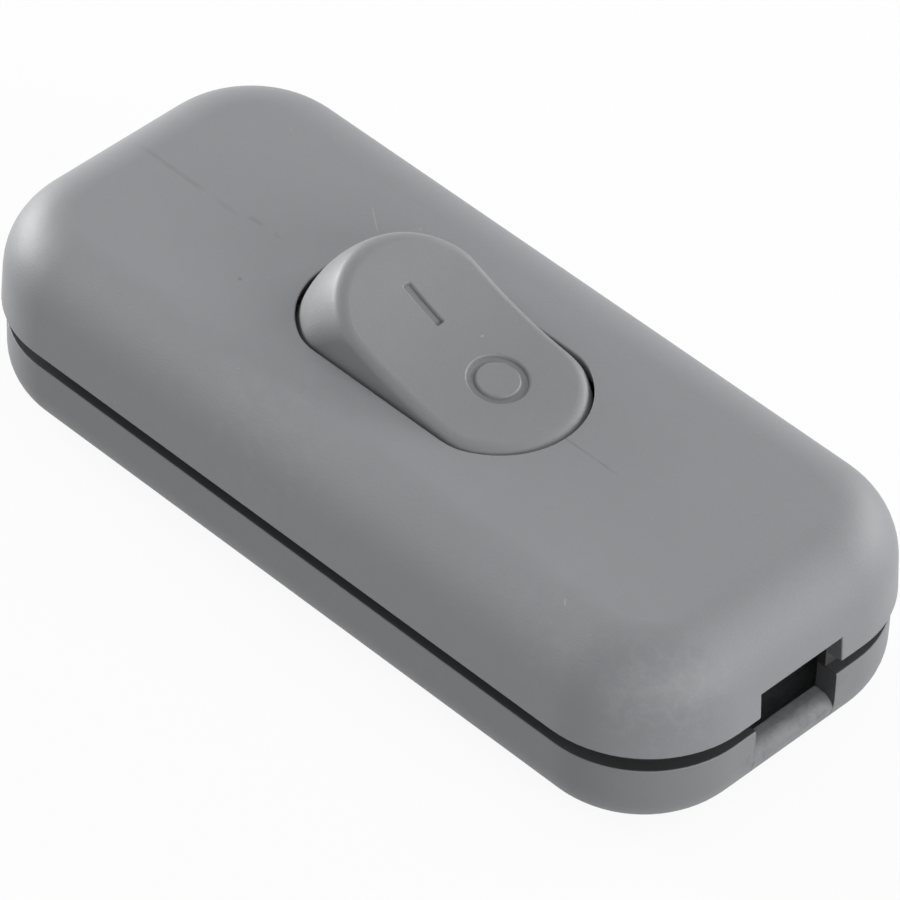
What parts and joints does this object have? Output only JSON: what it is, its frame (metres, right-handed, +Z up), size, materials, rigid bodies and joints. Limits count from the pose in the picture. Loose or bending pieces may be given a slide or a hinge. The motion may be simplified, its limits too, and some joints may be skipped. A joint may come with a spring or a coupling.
{
  "type": "inline cord switch",
  "caption": "Grey inline cord switch: rounded two-part housing with an I/O rocker, seesaw contact, screw terminals and a cord clamp at each end.",
  "frame": {"origin": "middle of the flat base", "axes": "+X along the cord towards the near outlet, on the rocker's O side; +Y across; +Z up out of the rocker"},
  "size_m": [0.07, 0.0306, 0.0212],
  "materials": {
    "housing_plastic": "fine spark-eroded grain, satin",
    "rocker_plastic": "fine grain, satin",
    "clamp_plastic": "plain moulded",
    "plunger_plastic": "plain moulded",
    "spring_steel": "drawn wire",
    "contact_brass": "stamped sheet",
    "contact_silver": "turned rivet",
    "terminal_brass": "machined",
    "screw_steel": "zinc plated"
  },
  "bodies": {
    "housing": {"upper_shell": "housing_plastic", "lower_shell": "housing_plastic", "housing_screws": "screw_steel", "fulcrum_terminal": "terminal_brass", "contact_terminal": "terminal_brass", "fixed_contact": "contact_silver", "fulcrum_terminal_screw": "screw_steel", "contact_terminal_screw": "screw_steel", "neutral_terminal": "terminal_brass", "neutral_terminal_screws": "screw_steel", "earth_terminal": "terminal_brass", "earth_terminal_screws": "screw_steel", "near_cord_clamp": "clamp_plastic", "far_cord_clamp": "clamp_plastic", "near_clamp_screws": "screw_steel", "far_clamp_screws": "screw_steel"},
    "rocker": {"rocker": "rocker_plastic", "rocker_spring": "spring_steel"},
    "plunger": {"rocker_plunger": "plunger_plastic"},
    "contact": {"contact_blade": "contact_brass", "moving_contact": "contact_silver"}
  },
  "joints": [
    {"name": "rocker_tilt", "type": "hinge", "parent": "housing", "child": "rocker", "pos_m": [0, 0, 0.01126], "axis": [0, 1, 0], "range_deg": [-30, 0]},
    {"name": "plunger_slide", "type": "slide", "parent": "rocker", "child": "plunger", "axis": [0.2588, 0, 0.9659], "range_m": [0, 0.0006], "stiffness_N_per_m": 200, "springref_m": -0.002, "deforming": ["rocker_spring"]},
    {"name": "contact_tilt", "type": "hinge", "parent": "housing", "child": "contact", "pos_m": [0, 0, 0.00475], "axis": [0, 1, 0], "range_deg": [0, 14]}
  ],
  "couplings": [
    {"joint": "contact_tilt", "follows": "rocker_tilt", "ratio": -0.46666}
  ]
}
